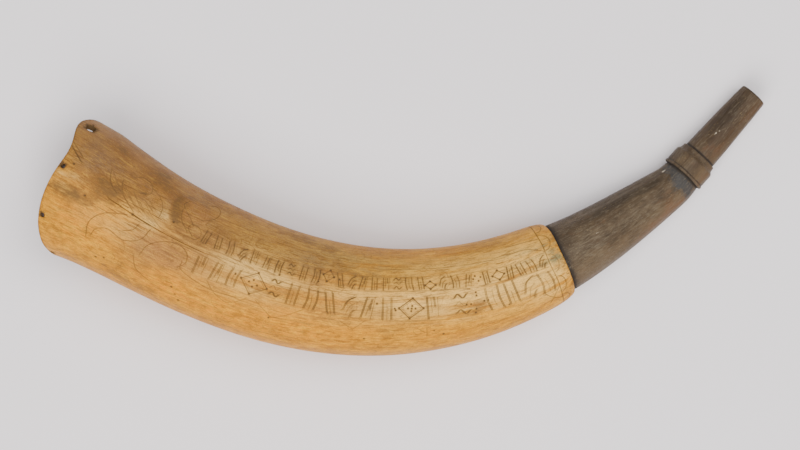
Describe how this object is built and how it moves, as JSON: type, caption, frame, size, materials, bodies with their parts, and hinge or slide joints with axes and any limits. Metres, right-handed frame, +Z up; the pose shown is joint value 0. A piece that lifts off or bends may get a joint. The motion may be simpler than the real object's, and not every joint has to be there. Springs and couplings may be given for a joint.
{
  "type": "powder horn",
  "caption": "Engraved cow-horn gunpowder container: curved hollow body, stepped neck with a turned ring, open spout and a pinned wooden base plug.",
  "frame": {"origin": "on the surface the horn lies on, under the middle of its bounding box", "axes": "+X from the plugged wide end towards the spout, +Y towards the inner side of the bend, +Z up from the surface it lies on"},
  "size_m": [0.3636, 0.1366, 0.0592],
  "materials": {
    "horn": "scraped and handled horn, satin, golden tan with a darker neck",
    "plug_wood": "old oiled wood, dull",
    "nail_iron": "rusted iron pins, dull"
  },
  "bodies": {
    "root": {"horn": "horn", "base_plug": "plug_wood", "base_nail_1": "nail_iron", "base_nail_2": "nail_iron", "base_nail_3": "nail_iron", "base_nail_4": "nail_iron", "base_nail_5": "nail_iron", "base_nail_6": "nail_iron"}
  },
  "joints": []
}
